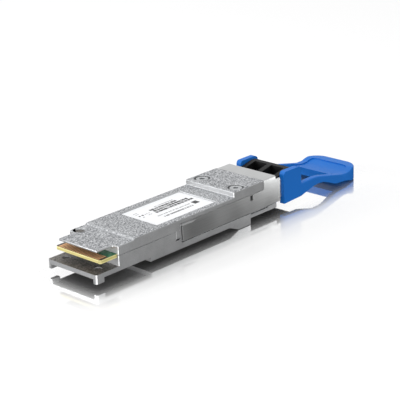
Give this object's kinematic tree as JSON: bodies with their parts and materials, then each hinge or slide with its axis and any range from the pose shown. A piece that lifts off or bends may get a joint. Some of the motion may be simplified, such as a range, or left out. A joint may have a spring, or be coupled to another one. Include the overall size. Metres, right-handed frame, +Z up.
{
  "type": "optical transceiver module",
  "caption": "Pluggable fibre-optic transceiver: die-cast case with a card edge at one end, duplex LC receptacle and a sliding release with a pull tab at the other.",
  "frame": {"origin": "middle of the bounding box at its base, which is the underside of the ridge below the nose", "axes": "+X along the module from the card edge to the pull tab, +Y to its left, +Z up"},
  "size_m": [0.1102, 0.0188, 0.0115],
  "materials": {
    "diecast_zinc": "bead-blasted die-cast zinc",
    "diecast_zinc_cover": "bead-blasted die-cast zinc",
    "stamped_steel": "satin stamped stainless steel",
    "blue_moulding": "moulded nylon, satin",
    "black_moulding": "moulded black polymer, satin",
    "board_laminate": "green solder mask on glass laminate",
    "gold_contacts": "hard gold plate",
    "plated_alloy": "gold-plated alloy case",
    "turned_steel": "turned stainless steel",
    "zirconia": "polished zirconia ceramic",
    "polyimide": "amber polyimide film",
    "chip_package": "moulded chip package",
    "capacitor_ceramic": "sintered ceramic",
    "ferrite": "sintered ferrite",
    "thermal_silicone": "soft silicone pad",
    "conductive_rubber": "silver-filled silicone",
    "screw_steel": "zinc-plated steel",
    "spring_wire": "drawn spring wire",
    "label_film": "white polyester label"
  },
  "bodies": {
    "module": {"bottom_housing": "diecast_zinc", "top_cover": "diecast_zinc_cover", "lc_receptacle": "black_moulding", "circuit_board": "board_laminate", "edge_contacts_top": "gold_contacts", "edge_contacts_bottom": "gold_contacts", "transmit_subassembly": "plated_alloy", "receive_subassembly": "plated_alloy", "transmit_barrel": "turned_steel", "receive_barrel": "turned_steel", "transmit_sleeve": "zirconia", "receive_sleeve": "zirconia", "transmit_fibre_stub": "zirconia", "receive_fibre_stub": "zirconia", "transmit_flex": "polyimide", "receive_flex": "polyimide", "transmit_retimer": "chip_package", "receive_retimer": "chip_package", "microcontroller": "chip_package", "capacitors": "capacitor_ceramic", "inductors": "ferrite", "barrel_holder": "turned_steel", "retimer_thermal_pad": "thermal_silicone", "optics_thermal_pad": "thermal_silicone", "upper_emi_gasket": "conductive_rubber", "lower_emi_gasket": "conductive_rubber", "cover_screws": "screw_steel", "return_spring_left": "spring_wire", "return_spring_right": "spring_wire", "label": "label_film"},
    "release": {"release_slider": "stamped_steel", "pull_tab": "blue_moulding"}
  },
  "joints": [
    {"name": "release_slide", "type": "slide", "parent": "module", "child": "release", "axis": [1, 0, 0], "range_m": [0, 0.002], "stiffness_N_per_m": 1000, "springref_m": -0.001, "deforming": ["return_spring_left", "return_spring_right"]}
  ]
}
